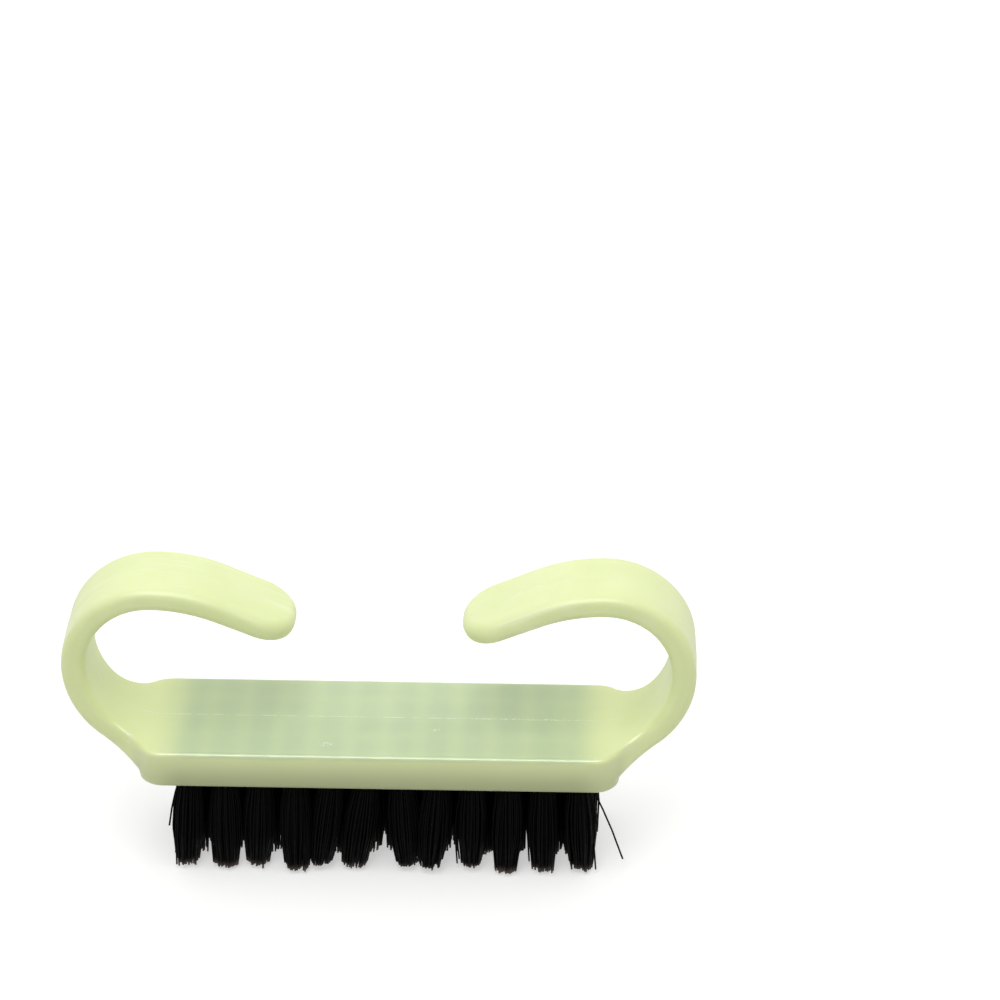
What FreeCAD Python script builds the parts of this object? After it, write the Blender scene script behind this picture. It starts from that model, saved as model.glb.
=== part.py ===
import FreeCAD, Part
import math
import os

from FreeCAD import Vector

# Nail brush: one moulded handle with two curled horns, and tufts of bristle stapled into its slab.
# Lengths are millimetres and angles degrees. The bristle tips stand on Z = 0, X runs along the brush
# and Y across it, with the origin under the middle of the slab.

# Slab
slab_length = 49.6
slab_depth = 15.1
slab_height = 4.1

# Horns: bands that leave the slab's ends, turn up and curl in over it. Radii are on the inner side.
horn_overhang = 7.7
horn_width = 9.0
horn_thickness = 2.5
horn_rise_angle = 38.5
low_bend_radius = 7.8
high_bend_radius = 6.9
bend_join_angle = 10.0
tip_bend_radius = 16.2
tip_droop_angle = 23.4
tip_run = 8.1
tip_corner_radius = 3.9
tip_corner_limit_share = 0.48

# Eased edges of the moulding
edge_bevel = 0.55
lip_bevel_limit_share = 0.5
sharp_angle = 20.0

# Tuft holes; the pattern sits a little to the right of the slab's middle
hole_diameter = 2.4
hole_floor = 1.0
tuft_columns = 12
tuft_rows = 4
left_margin = 5.22
right_margin = 4.12
side_margin = 2.15

# Bristle tufts
bristle_length = 11.0
tuft_clearance = 0.03
tuft_gap = 0.7
tuft_spread_length = 3.4
tuft_sides = 6

# Anchor staples that hold the folded bristle in its hole
anchor_thickness = 0.35
anchor_height = 1.4
anchor_bite = 0.25
anchor_turn_angle = 35.0
anchor_clearance = 0.02
fold_thickness = 0.6

# Cuts run past the faces that they open by this much
overrun = 0.5

# Directions along a horn, as angles from +X in the XZ plane; its bends join just past the upright
rise = math.radians(horn_rise_angle)
upright = math.pi / 2
bend_join = upright + math.radians(bend_join_angle)
level = math.pi
droop = math.pi + math.radians(tip_droop_angle)

# Heights of the slab's faces, and what follows from the sizes above
underside = bristle_length
slab_top = underside + slab_height
hole_depth = slab_height - hole_floor
column_pitch = (slab_length - left_margin - right_margin) / (tuft_columns - 1)
row_pitch = (slab_depth - side_margin * 2) / (tuft_rows - 1)
anchor_length = hole_diameter + anchor_bite * 2
anchor_top = hole_depth - fold_thickness
anchor_bottom = anchor_top - anchor_height
outer_bend_radius = low_bend_radius + horn_thickness
slab_corner_radius = outer_bend_radius - horn_overhang


def on_bend(centre, radius, heading):
    """The point of a bend, turning to the left about its centre, where it runs along a heading."""
    return centre + Vector(math.sin(heading), 0, -math.cos(heading)) * radius


# Each horn's first bend rises smoothly from the slab's top, and each bend carries on from the last
low_centre = Vector(slab_length / 2 - slab_corner_radius, 0, slab_top + low_bend_radius)
high_centre = on_bend(low_centre, low_bend_radius - high_bend_radius, bend_join)
tip_centre = on_bend(high_centre, high_bend_radius - tip_bend_radius, level)


def line(start, end):
    return Part.LineSegment(start, end).toShape()


def bend(centre, radius, start, end):
    middle = on_bend(centre, radius, (start + end) / 2)
    return Part.Arc(on_bend(centre, radius, start), middle, on_bend(centre, radius, end)).toShape()


def face_of(edges):
    return Part.Face(Part.Wire(Part.sortEdges(edges)[0]))


def mirrored(shape):
    return shape.mirror(Vector(), Vector(1, 0, 0))


def across(face, width):
    """A side profile made into a solid that is centred across the brush."""
    moved = face.copy()
    moved.translate(Vector(0, -width / 2, 0))
    return moved.extrude(Vector(0, width, 0))


def tip_point(offset):
    """The end of the horn's last straight run, at an offset out from its inner side."""
    start = on_bend(tip_centre, tip_bend_radius + offset, droop)
    return start + Vector(math.cos(droop), 0, math.sin(droop)) * tip_run


def widest_line():
    inner = on_bend(low_centre, low_bend_radius, upright)
    return line(inner, on_bend(low_centre, outer_bend_radius, upright))


def hook_profile():
    """The upper half of a horn, from its widest level round to its tip."""
    edges = []
    for offset in (0, horn_thickness):
        edges.append(bend(low_centre, low_bend_radius + offset, upright, bend_join))
        edges.append(bend(high_centre, high_bend_radius + offset, bend_join, level))
        edges.append(bend(tip_centre, tip_bend_radius + offset, level, droop))
        edges.append(line(on_bend(tip_centre, tip_bend_radius + offset, droop), tip_point(offset)))
    edges.append(line(tip_point(0), tip_point(horn_thickness)))
    edges.append(widest_line())
    return face_of(edges)


def root_profile():
    """The slab's side with both horn roots, whose straight undersides run on below the slab."""
    spring = on_bend(low_centre, outer_bend_radius, rise)
    keel = underside - slab_height
    foot = Vector(spring.x - (spring.z - keel) / math.tan(rise), 0, keel)
    start = on_bend(low_centre, low_bend_radius, 0)
    edges = [
        line(foot, spring),
        bend(low_centre, outer_bend_radius, rise, upright),
        widest_line(),
        bend(low_centre, low_bend_radius, 0, upright),
    ]
    edges = edges + [mirrored(edge) for edge in edges]
    edges.append(line(foot, Vector(-foot.x, 0, foot.z)))
    edges.append(line(start, Vector(-start.x, 0, start.z)))
    return face_of(edges)


def plan_arc(centre, radius, start, end):
    """An arc in plan; its angles run from -Y towards +X."""
    points = []
    for angle in (start, (start + end) / 2, end):
        points.append(centre + Vector(math.sin(angle), -math.cos(angle), 0) * radius)
    return Part.Arc(*points).toShape()


def shoulder_edges():
    """A quarter of the plan: the slab's corner, turning out again into the narrower horn."""
    step = (slab_depth - horn_width) / 2
    run = outer_bend_radius * math.sin(rise)
    both_radii = (run * run + step * step) / (step * 2)
    turn = math.asin(run / both_radii)
    corner = Vector(low_centre.x, slab_corner_radius - slab_depth / 2, 0)
    hollow = corner + Vector(math.sin(turn), -math.cos(turn), 0) * both_radii
    neck = Vector(hollow.x, -horn_width / 2, 0)
    end = Vector(slab_length / 2 + horn_overhang + overrun, neck.y, 0)
    side = Vector(corner.x, -slab_depth / 2, 0)
    return [
        line(Vector(0, side.y, 0), side),
        plan_arc(corner, slab_corner_radius, 0, turn),
        plan_arc(hollow, both_radii - slab_corner_radius, turn + math.pi, math.pi),
        line(neck, end),
        line(end, Vector(end.x, 0, 0)),
    ]


def shoulder_plan():
    """The plan of the slab and the horns' roots."""
    edges = shoulder_edges()
    edges = edges + [edge.mirror(Vector(), Vector(0, 1, 0)) for edge in edges]
    edges = edges + [mirrored(edge) for edge in edges]
    return face_of(edges)


def hook():
    """The upper half of a horn, with its tip's corners rounded off."""
    solid = across(hook_profile(), horn_width)
    tip = [tip_point(0), tip_point(horn_thickness)]
    corners = []
    for edge in solid.Edges:
        ends = [Vector(v.X, 0, v.Z) for v in edge.Vertexes]
        at_tip = all(min(end.distanceToPoint(p) for p in tip) < overrun for end in ends)
        if at_tip and ends[0].distanceToPoint(ends[-1]) > overrun:
            corners.append(edge)
    return solid.makeFillet(min(tip_corner_radius, horn_width * tip_corner_limit_share), corners)


def sharp_edges(solid):
    """The edges where two faces meet at a clear angle, apart from those of the lowest face."""
    found = []
    for edge in solid.Edges:
        faces = solid.ancestorsOfType(edge, Part.Face)
        middle = edge.valueAt((edge.FirstParameter + edge.LastParameter) / 2)
        normals = [face.normalAt(*face.Surface.parameter(middle)) for face in faces]
        lowest = edge.BoundBox.ZMax < solid.BoundBox.ZMin + overrun
        if len(faces) == 2 and not lowest and normals[0].getAngle(normals[1]) > math.radians(sharp_angle):
            found.append(edge)
    return found


def band():
    """Slab and horns as one curled band with eased edges, cut off level inside the slab's lip."""
    plan = shoulder_plan()
    plan.translate(Vector(0, 0, underside - slab_height))
    roots = across(root_profile(), slab_depth).common(plan.extrude(Vector(0, 0, low_centre.z)))
    right = hook()
    solid = roots.fuse([right, mirrored(right)]).removeSplitter().Solids[0]
    eased = solid.makeChamfer(edge_bevel, sharp_edges(solid))
    below = Part.makeBox(slab_length + horn_overhang * 2, slab_depth, slab_height + edge_bevel)
    below.translate(Vector(-slab_length / 2 - horn_overhang, -slab_depth / 2, underside - slab_height))
    return eased.cut(below)


def lip():
    """The slab's lower part, whose ends stand out square under the horns."""
    box = Part.makeBox(slab_length, slab_depth, slab_height / 2)
    box.translate(Vector(-slab_length / 2, -slab_depth / 2, underside))
    uprights = [edge for edge in box.Edges if edge.BoundBox.ZLength > overrun]
    box = box.makeFillet(slab_corner_radius, uprights)
    bottom = [edge for edge in box.Edges if edge.BoundBox.ZMax < underside + overrun]
    return box.makeChamfer(min(edge_bevel, slab_corner_radius * lip_bevel_limit_share), bottom)


def tuft_places():
    """The name and centre of every tuft hole, on the slab's underside; row 1 is the front row."""
    first = Vector(left_margin - slab_length / 2, side_margin - slab_depth / 2, underside)
    places = []
    for row in range(tuft_rows):
        for column in range(tuft_columns):
            place = first + Vector(column * column_pitch, row * row_pitch, 0)
            places.append((f"tuft_row{row + 1}_{column + 1:02d}", place))
    return places


def staple_box(length, thickness, bottom, top):
    """A flat strip centred over the hole's axis and turned to the staples' angle."""
    box = Part.makeBox(length, thickness, top - bottom)
    box.translate(Vector(-length / 2, -thickness / 2, bottom))
    box.rotate(Vector(), Vector(0, 0, 1), anchor_turn_angle)
    return box


def hole_cut():
    """A blind tuft hole, with the two slits that its staple is pushed along."""
    bore = Part.makeCylinder(hole_diameter / 2, hole_depth + overrun, Vector(0, 0, -overrun))
    bore.rotate(Vector(), Vector(0, 0, 1), anchor_turn_angle)
    length = anchor_length + anchor_clearance * 2
    slits = staple_box(length, anchor_thickness + anchor_clearance * 2, -overrun, hole_depth)
    return bore.fuse(slits).removeSplitter()


def handle():
    cut = hole_cut()
    cuts = []
    for _, place in tuft_places():
        copy = cut.copy()
        copy.translate(place)
        cuts.append(copy)
    return band().fuse(lip()).removeSplitter().cut(cuts).Solids[0]


def anchor():
    """A short length of flat wire, wider than the hole, that bites into its walls."""
    return staple_box(anchor_length, anchor_thickness, anchor_bottom, anchor_top)


def ring(diameter, height):
    """A bundle's outline, packed six-sided as round bristles pack."""
    points = []
    for side in range(tuft_sides):
        angle = math.tau * side / tuft_sides
        points.append(Vector(math.cos(angle), math.sin(angle), 0) * (diameter / 2) + Vector(0, 0, height))
    return points


def flat_face(points):
    return Part.Face(Part.makePolygon(points + points[:1]))


def bundle(rings):
    """A closed solid of flat faces through rings that differ only in size and height."""
    faces = [flat_face(rings[0]), flat_face(rings[-1])]
    for upper, lower in zip(rings, rings[1:]):
        for side in range(tuft_sides):
            after = (side + 1) % tuft_sides
            faces.append(flat_face([upper[side], upper[after], lower[after], lower[side]]))
    shell = Part.makeShell(faces)
    shell.sewShape()
    return Part.makeSolid(shell)


def tuft():
    """Bristle folded over its staple: tight in the hole, spread below it and cut level."""
    root_diameter = hole_diameter - tuft_clearance * 2
    spread_diameter = min(column_pitch, row_pitch) - tuft_gap
    rings = [
        ring(root_diameter, hole_depth - tuft_clearance),
        ring(root_diameter, 0),
        ring(spread_diameter, -tuft_spread_length),
        ring(spread_diameter, -bristle_length),
    ]
    slot = staple_box(
        anchor_length,
        anchor_thickness + anchor_clearance * 2,
        anchor_bottom - anchor_clearance,
        anchor_top + anchor_clearance,
    )
    return bundle(rings).cut(slot)


def write(shape, name):
    shape.exportStep(f"parts/{name}.step")


def main():
    os.makedirs("parts", exist_ok=True)
    write(handle(), "handle")
    bristle = tuft()
    staple = anchor()
    staples = []
    for name, place in tuft_places():
        placed = bristle.copy()
        placed.translate(place)
        write(placed, name)
        copy = staple.copy()
        copy.translate(place)
        staples.append(copy)
    write(Part.makeCompound(staples), "anchor_staples")


main()
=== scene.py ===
import math

import bpy
import numpy as np
from mathutils import Matrix, Vector


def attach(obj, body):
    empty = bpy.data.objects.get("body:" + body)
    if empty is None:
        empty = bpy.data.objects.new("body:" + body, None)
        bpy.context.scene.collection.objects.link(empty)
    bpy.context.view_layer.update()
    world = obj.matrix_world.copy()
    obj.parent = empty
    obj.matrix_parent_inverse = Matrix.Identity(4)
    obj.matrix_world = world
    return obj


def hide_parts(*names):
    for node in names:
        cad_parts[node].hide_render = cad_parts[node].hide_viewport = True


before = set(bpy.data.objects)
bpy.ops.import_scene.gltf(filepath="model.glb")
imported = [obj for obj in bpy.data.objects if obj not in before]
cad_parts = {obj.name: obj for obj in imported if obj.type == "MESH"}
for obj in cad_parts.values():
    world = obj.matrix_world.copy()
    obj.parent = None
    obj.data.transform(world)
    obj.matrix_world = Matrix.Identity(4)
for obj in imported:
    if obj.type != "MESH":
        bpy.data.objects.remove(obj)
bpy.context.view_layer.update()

MM = 0.001

# The handle's main sizes in millimetres, in the shared frame
SLAB_LENGTH, SLAB_DEPTH, SLAB_HEIGHT = 49.6, 15.1, 4.1
BRISTLE = 11.0
OVERHANG, HORN_WIDTH, HORN_THICK = 7.7, 9.0, 2.5
# The horn is a band that turns in three bends; headings in side view run from level (0) through
# upright (90 degrees) to level again (180) and on into the droop of the tip
RISE = math.radians(38.5)
LOW_R, HIGH_R, TIP_R = 7.8, 6.9, 16.2
JOIN = math.radians(100.0)
DROOP = math.radians(180.0 + 23.4)
TIP_RUN, TIP_CORNER = 8.1, 3.9
OUTER_R = LOW_R + HORN_THICK
CORNER_R = OUTER_R - OVERHANG
UNDER, TOP = BRISTLE, BRISTLE + SLAB_HEIGHT
# The grid of tufts
COLUMNS, ROWS = 12, 4
LEFT_MARGIN, RIGHT_MARGIN, SIDE_MARGIN = 5.22, 4.12, 2.15
PITCH_X = (SLAB_LENGTH - LEFT_MARGIN - RIGHT_MARGIN) / (COLUMNS - 1)
PITCH_Y = (SLAB_DEPTH - 2 * SIDE_MARGIN) / (ROWS - 1)
FIRST_X, FIRST_Y = LEFT_MARGIN - SLAB_LENGTH / 2, SIDE_MARGIN - SLAB_DEPTH / 2

# Edge radii, which grow from the slab towards the horns and their tips, and how far along they do so
SLAB_EDGE, ROOT_EDGE_GAIN, ROOT_EDGE_FROM, ROOT_EDGE_TO = 0.5, 0.45, 24.0, 29.0
HOOK_EDGE, TIP_EDGE_GAIN, TIP_EDGE_REACH = 0.95, 0.2, 4.0
LIP_EDGE = 0.45
# The small blend in the corner between lip and shoulder
BLEND, BLEND_GAIN, BLEND_FROM, BLEND_TO = 0.02, 0.06, 23.6, 24.9
DRAFT = math.radians(0.8)
# Height of the lip alone, below the slab's rounder upper part
LIP_STEP = 0.55
# Root and hook are the same band where they overlap: the hook starts at this heading, and the root ends
# at this height over the bend's centre
HOOK_START = math.radians(70)
ROOT_OVERLAP = 1.0
# How far past its end the straight tip still counts, and the distance given where no bend is near
TIP_OVERRUN = 6
FAR_OUT = 50.0

# The grid that the handle's mesh is drawn from, in millimetres
GRID_LOW = (-33.02, -8.125, UNDER - 0.61)
GRID_HIGH = (33.3, 8.25, 33.0)
CELL = 0.25
GRID_PARTS = 16
PULLS = 5


def on_bend(centre, radius, heading):
    """The point of a bend, in side view, where the band has turned to a heading."""
    return (centre[0] + math.sin(heading) * radius, centre[1] - math.cos(heading) * radius)


LOW_C = (SLAB_LENGTH / 2 - CORNER_R, TOP + LOW_R)
HIGH_C = on_bend(LOW_C, LOW_R - HIGH_R, JOIN)
TIP_C = on_bend(HIGH_C, HIGH_R - TIP_R, math.pi)
# Plan of a shoulder: a round corner and a hollow bend, which meet without a kink; BOTH_R adds their radii
STEP = (SLAB_DEPTH - HORN_WIDTH) / 2
RUN = OUTER_R * math.sin(RISE)
BOTH_R = (RUN * RUN + STEP * STEP) / (2 * STEP)
TURN = math.asin(RUN / BOTH_R)


def smooth(x, lo, hi):
    """A step from 0 to 1 with soft ends."""
    t = np.clip((x - lo) / (hi - lo), 0.0, 1.0)
    return t * t * (3.0 - 2.0 * t)


def rounded(a, b, r):
    """The overlap of two fields, with the edge between them rounded."""
    u, v = a + r, b + r
    return np.minimum(np.maximum(u, v), 0.0) + np.hypot(np.maximum(u, 0.0), np.maximum(v, 0.0)) - r


def crown(ay):
    """The slight draft that leaves a ridge along the middle of the moulding."""
    return math.tan(DRAFT) * (HORN_WIDTH / 2 - ay)


def plan_field(ax, ay):
    """Distance outside the plan of slab, shoulders and horn roots."""
    cy = SLAB_DEPTH / 2 - CORNER_R
    hx, hy = LOW_C[0] + math.sin(TURN) * BOTH_R, cy + math.cos(TURN) * BOTH_R
    corner = np.hypot(ax - LOW_C[0], ay - cy) - CORNER_R
    hollow = (BOTH_R - CORNER_R) - np.hypot(ax - hx, ay - hy)
    turn = np.arctan2(ax - LOW_C[0], ay - cy)
    d = np.where(turn < TURN, corner, hollow)
    d = np.where(ax <= LOW_C[0], ay - SLAB_DEPTH / 2, d)
    return np.where(ax >= hx, ay - HORN_WIDTH / 2, d)


def root_field(ax, ay, z):
    """Slab and horn roots."""
    dx, dz = ax - LOW_C[0], z - LOW_C[1]
    far = np.hypot(dx, dz)
    inner = np.where(dx < 0, z - TOP, LOW_R - far)
    line = (dx * math.sin(RISE) - dz * math.cos(RISE)) - OUTER_R
    heading = np.arctan2(dx, -dz)
    outer = np.where(heading < RISE, line, far - OUTER_R)
    side = np.maximum(inner, outer) - crown(ay)
    edge = SLAB_EDGE + ROOT_EDGE_GAIN * smooth(ax, ROOT_EDGE_FROM, ROOT_EDGE_TO)
    d = rounded(side, plan_field(ax, ay), edge)
    return np.maximum(d, np.maximum(UNDER + LIP_STEP - z, z - LOW_C[1] - ROOT_OVERLAP))


def hook_field(ax, ay, z):
    """The curled upper part of a horn with its round-ended tip."""
    half = HORN_THICK / 2
    d = np.full(ax.shape, FAR_OUT)
    for centre, radius, h0, h1 in (
        (LOW_C, LOW_R, HOOK_START, JOIN),
        (HIGH_C, HIGH_R, JOIN, math.pi),
        (TIP_C, TIP_R, math.pi, DROOP),
    ):
        dx, dz = ax - centre[0], z - centre[1]
        heading = np.mod(np.arctan2(dx, -dz), 2 * math.pi)
        ring = np.abs(np.hypot(dx, dz) - radius - half)
        d = np.where((heading >= h0) & (heading <= h1), np.minimum(d, ring), d)
    sx, sz = on_bend(TIP_C, TIP_R + half, DROOP)
    cx, cz = math.cos(DROOP), math.sin(DROOP)
    u = (ax - sx) * cx + (z - sz) * cz
    w = np.abs((z - sz) * cx - (ax - sx) * cz)
    d = np.where((u >= 0) & (u < TIP_RUN + TIP_OVERRUN), np.minimum(d, w), d)
    end = rounded(u - TIP_RUN, ay - HORN_WIDTH / 2, TIP_CORNER)
    edge = HOOK_EDGE + TIP_EDGE_GAIN * smooth(u, -TIP_EDGE_REACH, TIP_EDGE_REACH)
    return rounded(d - half - crown(ay), end, edge)


def lip_field(ax, ay, z):
    """The slab's lower part, square-ended under the horns."""
    qx = ax - (SLAB_LENGTH / 2 - CORNER_R)
    qy = ay - (SLAB_DEPTH / 2 - CORNER_R)
    d = np.hypot(np.maximum(qx, 0), np.maximum(qy, 0)) + np.minimum(np.maximum(qx, qy), 0) - CORNER_R
    d = rounded(d, UNDER - z, LIP_EDGE)
    return np.maximum(d, z - UNDER - SLAB_HEIGHT / 2)


def handle_field(p):
    """Distance outside the whole handle; both ends and both sides are alike."""
    ax, ay, z = np.abs(p[..., 0]), np.abs(p[..., 1]), p[..., 2]
    body = np.minimum(root_field(ax, ay, z), hook_field(ax, ay, z))
    lip = lip_field(ax, ay, z)
    k = BLEND + BLEND_GAIN * smooth(ax, BLEND_FROM, BLEND_TO)
    h = np.maximum(k - np.abs(body - lip), 0.0) / k
    return np.minimum(body, lip) - h * h * k * 0.25


def gradient(field, p, e=0.01):
    """The field's unit direction at each point."""
    g = np.empty_like(p)
    for axis in range(3):
        q = p.copy()
        q[:, axis] += e
        plus = field(q)
        q[:, axis] -= 2 * e
        g[:, axis] = plus - field(q)
    return g / np.maximum(np.linalg.norm(g, axis=1, keepdims=True), 1e-9)


def surface(field, lo, hi, cell):
    """A quad mesh where a field is zero: each grid cell that it crosses has one vertex, moved onto it."""
    axes = [np.arange(a, b, cell) for a, b in zip(lo, hi)]
    grid = np.stack(np.meshgrid(*axes, indexing="ij"), axis=-1)
    value = np.concatenate([field(part) for part in np.array_split(grid, GRID_PARTS)], axis=0)
    inside = value < 0
    corner = [(i, j, k) for i in (0, 1) for j in (0, 1) for k in (0, 1)]
    nx, ny, nz = (n - 1 for n in value.shape)
    total = sum(inside[i : i + nx, j : j + ny, k : k + nz].astype(int) for i, j, k in corner)
    cells = np.argwhere((total > 0) & (total < 8))
    index = np.full(total.shape, -1)
    index[tuple(cells.T)] = np.arange(len(cells))
    sums = np.zeros((len(cells), 3))
    count = np.zeros((len(cells), 1))
    for a in corner:
        for b in corner:
            if sum(b) - sum(a) != 1 or any(y < x for x, y in zip(a, b)):
                continue
            va = value[tuple((cells + a).T)]
            vb = value[tuple((cells + b).T)]
            hit = (va < 0) != (vb < 0)
            t = np.where(hit, va / np.where(hit, va - vb, 1.0), 0.0)[:, None]
            sums += np.where(hit[:, None], np.array(a) + t * (np.array(b) - np.array(a)), 0.0)
            count += hit[:, None]
    verts = np.array([a[0] for a in axes]) + (cells + sums / count) * cell
    quads = []
    for axis in range(3):
        cut = [slice(None)] * 3
        nxt = [slice(None)] * 3
        cut[axis] = slice(None, -1)
        nxt[axis] = slice(1, None)
        a, b = inside[tuple(cut)], inside[tuple(nxt)]
        edges = np.argwhere(a != b)
        u, v = (axis + 1) % 3, (axis + 2) % 3
        ring = []
        for du, dv in ((-1, -1), (0, -1), (0, 0), (-1, 0)):
            c = edges.copy()
            c[:, u] += du
            c[:, v] += dv
            ring.append(index[tuple(c.T)])
        ring = np.stack(ring, axis=1)
        flip = ~a[tuple(edges.T)]
        ring[flip] = ring[flip][:, ::-1]
        quads.append(ring)
    for _ in range(PULLS):
        normal = gradient(field, verts)
        verts = verts - normal * np.clip(field(verts), -cell, cell)[:, None]
    return verts, np.concatenate(quads), gradient(field, verts)


def place_mesh(mesh):
    """An object for a mesh, in the scene."""
    obj = bpy.data.objects.new(mesh.name, mesh)
    bpy.context.scene.collection.objects.link(obj)
    return obj


def handle_mesh(name):
    """The handle, with smooth normals taken from its field."""
    verts, quads, normals = surface(handle_field, GRID_LOW, GRID_HIGH, CELL)
    mesh = bpy.data.meshes.new(name)
    mesh.from_pydata((verts * MM).tolist(), [], [tuple(f) for f in quads.tolist()])
    mesh.polygons.foreach_set("use_smooth", np.ones(len(mesh.polygons), bool))
    mesh.normals_split_custom_set_from_vertices(normals.tolist())
    mesh.update()
    return place_mesh(mesh)


# Materials


class Nodes:
    """A small helper that wires one material's nodes."""

    def __init__(self, name):
        self.mat = bpy.data.materials.new(name)
        self.mat.use_nodes = True
        self.tree = self.mat.node_tree
        self.bsdf = self.tree.nodes["Principled BSDF"]

    def add(self, kind, **values):
        node = self.tree.nodes.new(kind)
        for key, value in values.items():
            setattr(node, key, value)
        return node

    def link(self, source, target):
        self.tree.links.new(source, target)

    def put(self, socket, value):
        """Link an output, or set a plain value."""
        if hasattr(value, "is_output"):
            self.link(value, socket)
        else:
            socket.default_value = value

    def math(self, kind, a, b=0.0):
        node = self.add("ShaderNodeMath", operation=kind)
        self.put(node.inputs[0], a)
        self.put(node.inputs[1], b)
        return node.outputs[0]

    def times(self, first, *others):
        """The product of several values."""
        for other in others:
            first = self.math("MULTIPLY", first, other)
        return first

    def most(self, first, *others):
        """The largest of several values."""
        for other in others:
            first = self.math("MAXIMUM", first, other)
        return first

    def ramp(self, value, lo, hi, to_lo=0.0, to_hi=1.0):
        """A soft step from to_lo to to_hi as the value goes from lo to hi."""
        node = self.add("ShaderNodeMapRange", interpolation_type="SMOOTHSTEP")
        for socket, number in zip(node.inputs, (value, lo, hi, to_lo, to_hi)):
            self.put(socket, number)
        return node.outputs[0]

    def mix(self, factor, a, b):
        node = self.add("ShaderNodeMix", data_type="RGBA")
        self.put(node.inputs["Factor"], factor)
        self.put(node.inputs[6], a)
        self.put(node.inputs[7], b)
        return node.outputs[2]

    def noise(self, vector, scale, detail=3.0, rough=0.5):
        node = self.add("ShaderNodeTexNoise")
        self.link(vector, node.inputs["Vector"])
        node.inputs["Scale"].default_value = scale
        node.inputs["Detail"].default_value = detail
        node.inputs["Roughness"].default_value = rough
        return node.outputs["Fac"]

    def place(self):
        """Object coordinates in millimetres, whole and split."""
        coord = self.add("ShaderNodeTexCoord")
        scale = self.add("ShaderNodeVectorMath", operation="SCALE")
        self.link(coord.outputs["Object"], scale.inputs[0])
        scale.inputs["Scale"].default_value = 1 / MM
        split = self.add("ShaderNodeSeparateXYZ")
        self.link(scale.outputs[0], split.inputs[0])
        return scale.outputs[0], split.outputs


def srgb(r, g, b):
    """A screen colour as linear values."""
    out = []
    for c in (r / 255, g / 255, b / 255):
        out.append(c / 12.92 if c <= 0.04045 else ((c + 0.055) / 1.055) ** 2.4)
    return (*out, 1.0)


# Handle colours: skin, the field where bristle roots show through, the slab's wall, and pale marks with
# painted highlights
SKIN, SKIN_DEEPER = srgb(231, 240, 184), srgb(226, 236, 177)
ROOTS = srgb(187, 205, 167)
WALL, WALL_FOOT = srgb(220, 229, 176), srgb(172, 180, 134)
MOTTLE, MARK_AND_HIGHLIGHT = srgb(196, 202, 150), srgb(246, 251, 232)

# Where along the slab the field and the wall's colours fade out, measured from its middle
ROOTS_GONE, ROOTS_FULL = 24.0, 18.6
WALL_GONE, WALL_FULL = 26.0, 24.6
FOOT_PALE, FOOT_FULL = 24.0, 20.0

# Heights between which a look fades: from none to full, and for the flash from full to faint
FIELD_OVER, FIELD_UNDER = (TOP + 0.9, TOP + 0.1), (TOP - 1.2, TOP - 0.3)
WALL_FADE, FOOT_FADE = (TOP - 0.1, TOP - 0.8), (TOP - 0.4, UNDER + 0.1)
SCUFF_AND_HIGHLIGHT_FADE, RUB_FADE = (TOP - 0.4, TOP - 0.1), (TOP + 7.0, TOP + 11.0)
FLASH_FADE, FLASH_FAINT = (TOP + 3.0, TOP + 9.0), 0.3
DULL_FADE = (TOP + 2.0, TOP + 9.0)

# Half width of the flash on the parting line, at its foot and at its crest
FLASH_FOOT, FLASH_CREST = 0.12, 0.03

# Scuffs on the slab's top, and painted highlights on its parting line and shoulders: place and half size
# along X and Y
SCUFFS_AND_HIGHLIGHTS = (
    (-5.4, -5.25, 0.9, 0.5),
    (5.85, -2.25, 0.7, 0.3),
    # Painted highlights: a glint and a light line on the parting line, then streaks on the two shoulders
    (-23.65, 0.0, 1.1, 0.3),
    (14.0, 0.0, 9.0, 0.2),
    (-25.9, -5.1, 0.6, 0.5),
    (25.7, -5.3, 0.6, 0.5),
)

# Rubs on the horns are noise drawn out along them
RUB_STRETCH = (0.07, 1.7, 0.07)

# How strongly each mark and painted highlight whitens the skin
FLASH_HIGHLIGHT_TINT, SCUFF_AND_HIGHLIGHT_TINT, RUB_TINT = 0.5, 0.8, 0.3

# Roughness of the slab's skin, and what handling adds on the horns
ROUGH_LEAST, ROUGH_MOST, ROUGH_WORN = 0.285, 0.33, 0.14

# Heights of the skin's relief in millimetres, and the share of a mark's height that a rub has
WAVE, GRAIN, MARK_HEIGHT = 0.014, 0.002, 0.03
RUB_SHARE = 0.35


def off_centre(n, value, first, pitch):
    """How far a value lies from the nearest tuft's middle, as a share of the pitch."""
    steps = n.math("DIVIDE", n.math("SUBTRACT", value, first - pitch / 2), pitch)
    return n.math("ABSOLUTE", n.math("SUBTRACT", n.math("FRACT", steps), 0.5))


def scuff_and_highlight_marks(n, where, x, y, z):
    """Broken spots at the places of the scuffs and painted highlights, on the slab's top and above."""
    spots = 0.0
    for sx, sy, half_x, half_y in SCUFFS_AND_HIGHLIGHTS:
        across = n.math("DIVIDE", n.math("SUBTRACT", x, sx), half_x)
        along = n.math("DIVIDE", n.math("SUBTRACT", y, sy), half_y)
        far = n.math("ADD", n.times(across, across), n.times(along, along))
        spots = n.math("ADD", spots, n.ramp(far, 1.0, 0.2))
    scratch = n.ramp(n.noise(where, scale=4.5, detail=2.0, rough=0.7), 0.5, 0.62)
    return n.times(spots, scratch, n.ramp(z, *SCUFF_AND_HIGHLIGHT_FADE))


def rub_marks(n, where, z):
    """Long faint rubs along the horns, in patches."""
    stretch = n.add("ShaderNodeVectorMath", operation="MULTIPLY")
    n.link(where, stretch.inputs[0])
    stretch.inputs[1].default_value = RUB_STRETCH
    streaks = n.ramp(n.noise(stretch.outputs[0], scale=1.0, detail=3.0, rough=0.65), 0.52, 0.66)
    patches = n.ramp(n.noise(where, scale=0.14, detail=2.0), 0.42, 0.58)
    return n.times(streaks, n.ramp(z, *RUB_FADE), patches)


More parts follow.
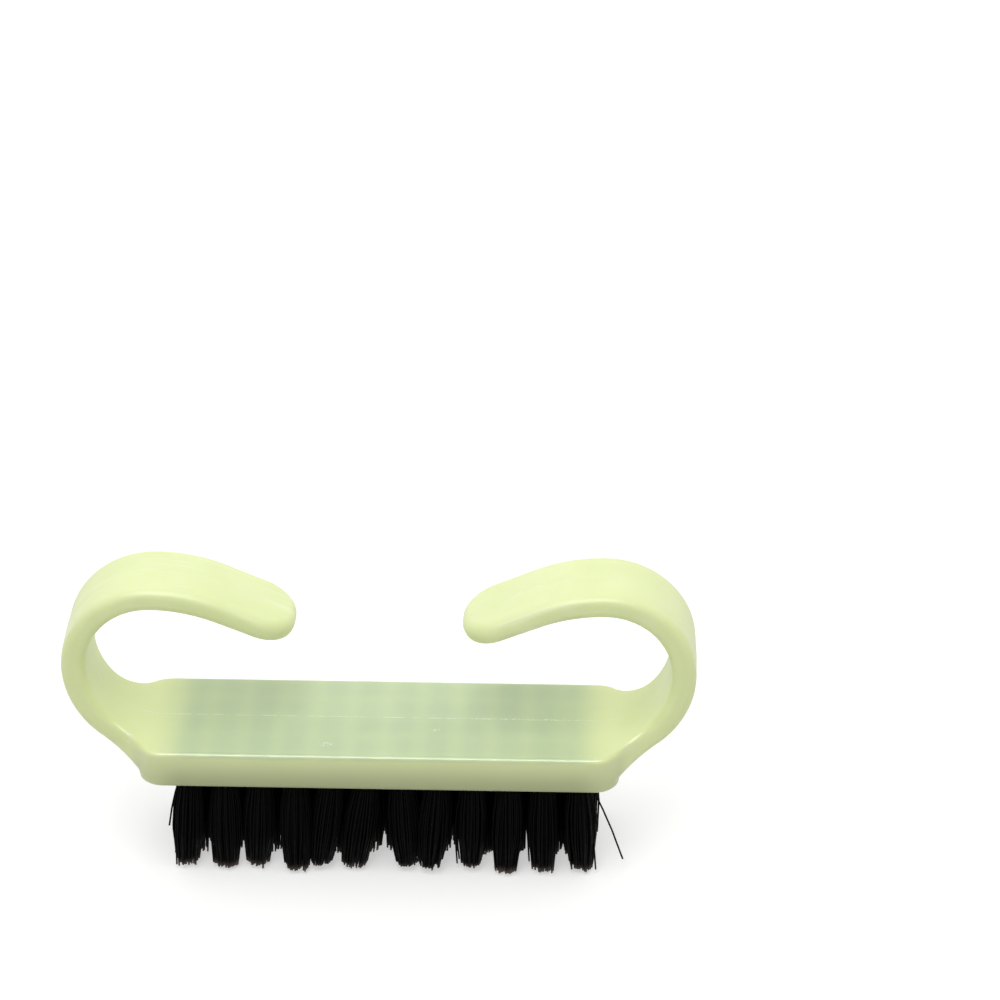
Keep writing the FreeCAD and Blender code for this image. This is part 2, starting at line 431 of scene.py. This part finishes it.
def handle_material():
    n = Nodes("handle_plastic")
    where, (x, y, z) = n.place()
    ax = n.math("ABSOLUTE", x)
    # Bristle roots show through the slab's top as one soft greyer field, fading before its ends
    dx = off_centre(n, x, FIRST_X, PITCH_X)
    dy = off_centre(n, y, FIRST_Y, PITCH_Y)
    spot = n.times(n.ramp(dx, 0.5, 0.1, 0.87, 1.0), n.ramp(dy, 0.5, 0.1, 0.95, 1.0))
    upper = n.times(n.ramp(z, *FIELD_OVER), n.ramp(z, *FIELD_UNDER))
    cloud = n.ramp(n.noise(where, scale=0.16, detail=3.0), 0.3, 0.7, 0.88, 1.0)
    field = n.times(n.ramp(ax, ROOTS_GONE, ROOTS_FULL), upper, spot, cloud)
    skin = n.mix(n.ramp(n.noise(where, scale=0.11, detail=2.0), 0.35, 0.65), SKIN, SKIN_DEEPER)
    colour = n.mix(field, skin, ROOTS)
    # The slab's wall is a shade deeper than its top, and darkens downwards over the black bristle
    inside = n.ramp(ax, WALL_GONE, WALL_FULL)
    wall = n.times(inside, n.ramp(z, *WALL_FADE))
    colour = n.mix(wall, colour, WALL)
    foot = n.times(n.ramp(z, *FOOT_FADE), n.ramp(ax, FOOT_PALE, FOOT_FULL, 0.4, 1.0), inside)
    colour = n.mix(foot, colour, WALL_FOOT)
    mottle = n.ramp(n.noise(where, scale=0.9, detail=3.0, rough=0.6), 0.35, 0.65, 0.0, 0.02)
    colour = n.mix(mottle, colour, MOTTLE)
    # The thin flash on the parting line, scuffs and rubs are whiter than the skin; the flash's whitening
    # is a painted highlight, and some scuff spots are painted highlights
    line = n.ramp(n.math("ABSOLUTE", y), FLASH_FOOT, FLASH_CREST)
    broken = n.ramp(n.noise(where, scale=0.8, detail=4.0, rough=0.7), 0.42, 0.62, 0.05, 1.0)
    flash = n.times(line, broken, n.ramp(z, *FLASH_FADE, 1.0, FLASH_FAINT))
    scuff_and_highlight = scuff_and_highlight_marks(n, where, x, y, z)
    rub = rub_marks(n, where, z)
    pale_and_highlight = n.most(n.times(flash, FLASH_HIGHLIGHT_TINT), n.times(scuff_and_highlight, SCUFF_AND_HIGHLIGHT_TINT), n.times(rub, RUB_TINT))
    colour = n.mix(pale_and_highlight, colour, MARK_AND_HIGHLIGHT)
    n.link(colour, n.bsdf.inputs["Base Color"])
    n.bsdf.inputs["Subsurface Weight"].default_value = 0.5
    n.bsdf.inputs["Subsurface Radius"].default_value = (1.0, 1.0, 0.6)
    n.bsdf.inputs["Subsurface Scale"].default_value = 1.3 * MM
    n.bsdf.inputs["IOR"].default_value = 1.49
    # Handling has dulled the horns more than the slab
    uneven = n.noise(where, scale=0.9, detail=4.0, rough=0.6)
    rough = n.ramp(uneven, 0.3, 0.7, ROUGH_LEAST, ROUGH_MOST)
    rough = n.math("ADD", rough, n.ramp(z, *DULL_FADE, 0.0, ROUGH_WORN))
    n.link(rough, n.bsdf.inputs["Roughness"])
    # Moulded skin: slow waviness, fine grain, and the marks above standing a little proud
    wave = n.times(n.noise(where, scale=0.35, detail=2.0), WAVE)
    grain = n.times(n.noise(where, scale=6.0, detail=3.0, rough=0.6), GRAIN)
    marks = n.times(n.most(flash, scuff_and_highlight, n.times(rub, RUB_SHARE)), MARK_HEIGHT)
    height = n.math("ADD", n.math("ADD", wave, grain), marks)
    bump = n.add("ShaderNodeBump")
    bump.inputs["Distance"].default_value = MM
    bump.inputs["Strength"].default_value = 1.0
    n.link(height, bump.inputs["Height"])
    n.link(bump.outputs["Normal"], n.bsdf.inputs["Normal"])
    return n.mat


# Bristle, staple and floor colours, each between a darker and a lighter tone
BLACK, BLACK_LIGHTER = (0.0016, 0.0016, 0.0016, 1.0), (0.0036, 0.0034, 0.0034, 1.0)
# Painted light that the bristles' cut ends catch near the floor
TIP_LIGHT_BROWN = (0.27, 0.215, 0.185, 1.0)
STEEL, STEEL_LIGHTER = (0.52, 0.51, 0.49, 1.0), (0.68, 0.67, 0.64, 1.0)
FLOOR, FLOOR_LIGHTER = (0.60, 0.595, 0.59, 1.0), (0.62, 0.615, 0.61, 1.0)

# Height over the floor at which the painted light on the cut ends begins, and is full
TIP_LIGHT_FROM, TIP_LIGHT_FULL = 1.4, 0.1


def bristle_material():
    n = Nodes("bristle_nylon")
    where, (_, _, z) = n.place()
    tint = n.mix(n.noise(where, scale=1.3, detail=2.0), BLACK, BLACK_LIGHTER)
    # Near the floor the cut ends are painted a little brown, as painted light that they catch
    end = n.ramp(z, TIP_LIGHT_FROM, TIP_LIGHT_FULL, 0.0, 0.85)
    tint = n.mix(end, tint, TIP_LIGHT_BROWN)
    n.link(tint, n.bsdf.inputs["Base Color"])
    rough = n.ramp(n.noise(where, scale=2.2, detail=3.0), 0.3, 0.7, 0.4, 0.6)
    n.link(rough, n.bsdf.inputs["Roughness"])
    n.bsdf.inputs["IOR"].default_value = 1.53
    n.bsdf.inputs["Specular IOR Level"].default_value = 0.035
    return n.mat


def staple_material():
    n = Nodes("staple_steel")
    where, _ = n.place()
    tone = n.mix(n.noise(where, scale=9.0, detail=4.0), STEEL, STEEL_LIGHTER)
    n.link(tone, n.bsdf.inputs["Base Color"])
    n.bsdf.inputs["Metallic"].default_value = 1.0
    rough = n.ramp(n.noise(where, scale=14.0, detail=3.0), 0.3, 0.7, 0.22, 0.42)
    n.link(rough, n.bsdf.inputs["Roughness"])
    return n.mat


# Handle

handle = handle_mesh("handle_moulding")
handle.data.materials.append(handle_material())
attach(handle, "root")
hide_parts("handle")


# Bristles

# One filament: sides, radius and its spread, how far its root reaches into the hole, and rings as shares
# of its length, of which the first is the one in the hole
SIDES = 5
RADIUS, RADIUS_SHARES = 0.1, (0.95, 1.06)
ROOT_DEPTH = 0.77
STATION_SHARES = np.array([0.0, 0.0, 0.12, 0.34, 0.62, 1.0])

# One tuft: its filaments stand evenly over the hole and spread towards their tips
FILAMENTS = 104
GOLDEN = math.pi * (3 - math.sqrt(5))
ROOT_R, TIP_SPREAD = 1.1, (1.46, 1.78)
# A tuft leans as a whole, and each filament strays a little from that
LEAN, JITTER = (0.25, 0.3), 0.06
# Tips draw together into a few clumps, some filaments stand out further, and all bow outwards
CLUMPS, CLUMP_PLACE, CLUMP_PULL = 4, 0.75, (0.05, 0.5)
SPRUNG_SHARE, SPRUNG = 0.05, (0.2, 0.55)
BOW, BOW_JITTER = (0.4, 0.62), 0.05

# Heights of the tips over the floor: the least, how tufts and filaments differ, the rounding of a tuft's
# end, and the few filaments that were cut short
TIP_LOW, TUFT_UNEVEN, TIP_UNEVEN, TIP_ROUND = 0.02, 0.26, 0.22, 0.25
SHORT_SHARE, SHORT = 0.06, (0.3, 1.1)


def filament(root, tip, bow, radius):
    """A thin tube from root to tip that bends gently; its end is cut square."""
    t = STATION_SHARES[:, None]
    line = root + (tip - root) * t
    line[:, :2] += bow * (t * (1 - t) * 4)
    line[0, 2] += ROOT_DEPTH
    angle = np.arange(SIDES) * 2 * math.pi / SIDES
    ring = np.stack([np.cos(angle), np.sin(angle), np.zeros(SIDES)], axis=1) * radius
    points = (line[:, None, :] + ring[None, :, :]).reshape(-1, 3)
    faces = []
    last = (len(STATION_SHARES) - 1) * SIDES
    for start in range(0, last, SIDES):
        for k in range(SIDES):
            a, b = start + k, start + (k + 1) % SIDES
            faces.append((b, a, a + SIDES, b + SIDES))
    faces.append(tuple(last + k for k in range(SIDES))[::-1])
    return points, faces


def tuft_lines(centre, rng, girth, lean_x):
    """Root, tip and bow of each filament in a tuft."""
    lean = rng.normal(0, LEAN)
    if lean_x is not None:
        lean[0] = lean_x
    twist = rng.uniform(0, 2 * math.pi)
    spread = rng.uniform(*TIP_SPREAD) * girth
    clumps = [rng.uniform(-CLUMP_PLACE, CLUMP_PLACE, 2) for _ in range(CLUMPS)]
    base = TIP_LOW + abs(rng.normal(0, TUFT_UNEVEN))
    lines = []
    for i in range(FILAMENTS):
        r = math.sqrt((i + 0.5) / FILAMENTS)
        a = i * GOLDEN + twist
        unit = np.array([math.cos(a), math.sin(a)]) * r
        root = np.array([*(centre + unit * ROOT_R), UNDER])
        clump = min(clumps, key=lambda c: float(np.hypot(*(c - unit))))
        aim = unit * spread + (clump - unit) * rng.uniform(*CLUMP_PULL) + lean + rng.normal(0, JITTER, 2)
        if rng.random() < SPRUNG_SHARE:
            aim = aim + unit * rng.uniform(*SPRUNG)
        height = base + abs(rng.normal(0, TIP_UNEVEN)) + TIP_ROUND * r * r
        if rng.random() < SHORT_SHARE:
            height = height + rng.uniform(*SHORT)
        tip = np.array([*(centre + aim), height])
        bow = unit * rng.uniform(*BOW) + rng.normal(0, BOW_JITTER, 2)
        lines.append((root, tip, bow))
    return lines


def tuft_mesh(name, lines, rng):
    """One piece from the filaments of a tuft."""
    verts, faces, start = [], [], 0
    for root, tip, bow in lines:
        points, tube = filament(root, tip, bow, RADIUS * rng.uniform(*RADIUS_SHARES))
        verts.append(points)
        faces.extend(tuple(v + start for v in f) for f in tube)
        start += len(points)
    mesh = bpy.data.meshes.new(name)
    mesh.from_pydata((np.concatenate(verts) * MM).tolist(), [], faces)
    mesh.polygons.foreach_set("use_smooth", [len(f) == 4 for f in faces])
    mesh.update()
    return place_mesh(mesh)


def stray(x, y, tip, bow):
    """A bristle that has sprung out of its tuft."""
    return (np.array([x, y, UNDER]), np.array(tip), np.array([bow, 0.0]))


STRAYS = {
    "tuft_row1_01": [
        stray(-20.6, -5.6, (-21.9, -5.9, 5.2), -0.15),
        stray(-20.5, -5.2, (-21.5, -5.0, 1.2), 0.1),
    ],
    "tuft_row1_12": [
        stray(21.72, -5.3, (25.3, -5.5, 1.7), 0.2),
        stray(21.7, -5.6, (22.55, -5.8, 6.2), 0.1),
        stray(21.5, -5.8, (22.5, -5.9, 0.6), 0.1),
    ],
}

# How wide the tufts of each row spread; the outer rows stay slimmer than those that fill the middle
GIRTH = (0.8, 1.2, 1.2, 0.8)

# How far the tips of the front row's tufts lean to one side, from left to right
FRONT_LEAN = (-0.67, -0.1, -0.56, -0.1, -1.2, -1.4, 0.6, -0.8, -0.3, -0.33, 0.0, 0.26)

SEED = 20
bristle = bristle_material()
rng = np.random.default_rng(SEED)
for row in range(ROWS):
    for column in range(COLUMNS):
        node = f"tuft_row{row + 1}_{column + 1:02d}"
        centre = np.array([FIRST_X + column * PITCH_X, FIRST_Y + row * PITCH_Y])
        lean_x = FRONT_LEAN[column] if row == 0 else None
        lines = tuft_lines(centre, rng, GIRTH[row], lean_x) + STRAYS.get(node, [])
        tuft = tuft_mesh("bristles_" + node.removeprefix("tuft_"), lines, rng)
        tuft.data.materials.append(bristle)
        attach(tuft, "root")
        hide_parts(node)

# Staples keep their solids and get a bright wire finish
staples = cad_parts["anchor_staples"]
staples.data.materials.clear()
staples.data.materials.append(staple_material())


# Floor, light and camera

# Half the floor's side in metres, and the strength of its glow
FLOOR_HALF = 3
FLOOR_GLOW = 0.5
# World strength at the front and at the rear, and how far round towards each it is full
FRONT_LIGHT, REAR_LIGHT, LIGHT_FULL = 0.47, 0.93, 0.8
# What the lamps point at, in metres
LAMP_AIM = (0, 0, 0.015)


def floor_material():
    n = Nodes("floor")
    where, _ = n.place()
    tone = n.mix(n.noise(where, scale=0.02, detail=2.0), FLOOR, FLOOR_LIGHTER)
    n.link(tone, n.bsdf.inputs["Base Color"])
    n.bsdf.inputs["Roughness"].default_value = 0.6
    n.bsdf.inputs["Specular IOR Level"].default_value = 0.2
    # The glow shows only where the floor is seen or mirrored, so it lights nothing from below
    path = n.add("ShaderNodeLightPath").outputs
    seen = n.most(path["Is Camera Ray"], path["Is Glossy Ray"], path["Is Transmission Ray"])
    n.bsdf.inputs["Emission Color"].default_value = (1.0, 1.0, 1.0, 1.0)
    n.link(n.times(seen, FLOOR_GLOW), n.bsdf.inputs["Emission Strength"])
    return n.mat


floor_mesh = bpy.data.meshes.new("floor")
floor_corners = [(x * FLOOR_HALF, y * FLOOR_HALF, 0) for x, y in ((-1, -1), (1, -1), (1, 1), (-1, 1))]
floor_mesh.from_pydata(floor_corners, [], [(0, 1, 2, 3)])
floor = place_mesh(floor_mesh)
floor.data.materials.append(floor_material())

world = bpy.data.worlds.new("studio")
bpy.context.scene.world = world
world.use_nodes = True
sky = world.node_tree
coord = sky.nodes.new("ShaderNodeTexCoord")
split = sky.nodes.new("ShaderNodeSeparateXYZ")
sky.links.new(coord.outputs["Generated"], split.inputs[0])
rear = sky.nodes.new("ShaderNodeMapRange")
rear.interpolation_type = "SMOOTHSTEP"
for socket, number in zip(rear.inputs[1:], (-LIGHT_FULL, LIGHT_FULL, FRONT_LIGHT, REAR_LIGHT)):
    socket.default_value = number
sky.links.new(split.outputs["Y"], rear.inputs[0])
sky.links.new(rear.outputs[0], sky.nodes["Background"].inputs["Strength"])
sky.nodes["Background"].inputs["Color"].default_value = (1.0, 1.0, 1.0, 1.0)


def area_light(name, place, size, power):
    """A soft lamp; place and size in metres, power in watts."""
    data = bpy.data.lights.new(name, "AREA")
    data.shape = "RECTANGLE"
    data.size, data.size_y = size
    data.energy = power
    obj = bpy.data.objects.new(name, data)
    bpy.context.scene.collection.objects.link(obj)
    obj.location = place
    obj.rotation_mode = "QUATERNION"
    obj.rotation_quaternion = (Vector(LAMP_AIM) - Vector(place)).to_track_quat("-Z", "Y")
    return obj


area_light("key", (-0.04, -0.26, 0.58), (0.2, 0.45), 1.3)
# This lamp adds highlights and no diffuse light
glint = area_light("glint", (-0.04, -0.33, 0.56), (0.5, 0.22), 4.2)
glint.visible_diffuse = False
area_light("overhead", (0.0, 0.10, 0.62), (0.9, 0.7), 0.7)

# Camera fitted to the photo: how far it is turned left and tipped down; where a point on the brush's
# upright axis, a little below the slab's top, lies from it in millimetres; focal length in photo pixels
TURN_LEFT, TIP_DOWN = math.radians(1.747), math.radians(29.0)
FITTED_BELOW_TOP = 4.4
TO_RIGHT, TO_BELOW, TO_AHEAD = -12.34, 26.49, 389.015
FOCAL_PIXELS, PHOTO_PIXELS = 3719.95, 1000.0
SENSOR = 36.0

level = math.cos(TIP_DOWN)
right = Vector((math.cos(TURN_LEFT), math.sin(TURN_LEFT), 0))
ahead = Vector((-math.sin(TURN_LEFT) * level, math.cos(TURN_LEFT) * level, -math.sin(TIP_DOWN)))
down = ahead.cross(right)
fitted = Vector((0, 0, TOP - FITTED_BELOW_TOP)) * MM
place = fitted - (right * TO_RIGHT + down * TO_BELOW + ahead * TO_AHEAD) * MM
data = bpy.data.cameras.new("camera")
data.sensor_width = SENSOR
data.lens = SENSOR * FOCAL_PIXELS / PHOTO_PIXELS
data.clip_start, data.clip_end = 0.01, 20.0
camera = bpy.data.objects.new("camera", data)
bpy.context.scene.collection.objects.link(camera)
basis = Matrix((right, -down, -ahead)).transposed()
camera.matrix_world = Matrix.Translation(place) @ basis.to_4x4()
bpy.context.scene.camera = camera

bpy.context.scene.view_settings.view_transform = "Standard"
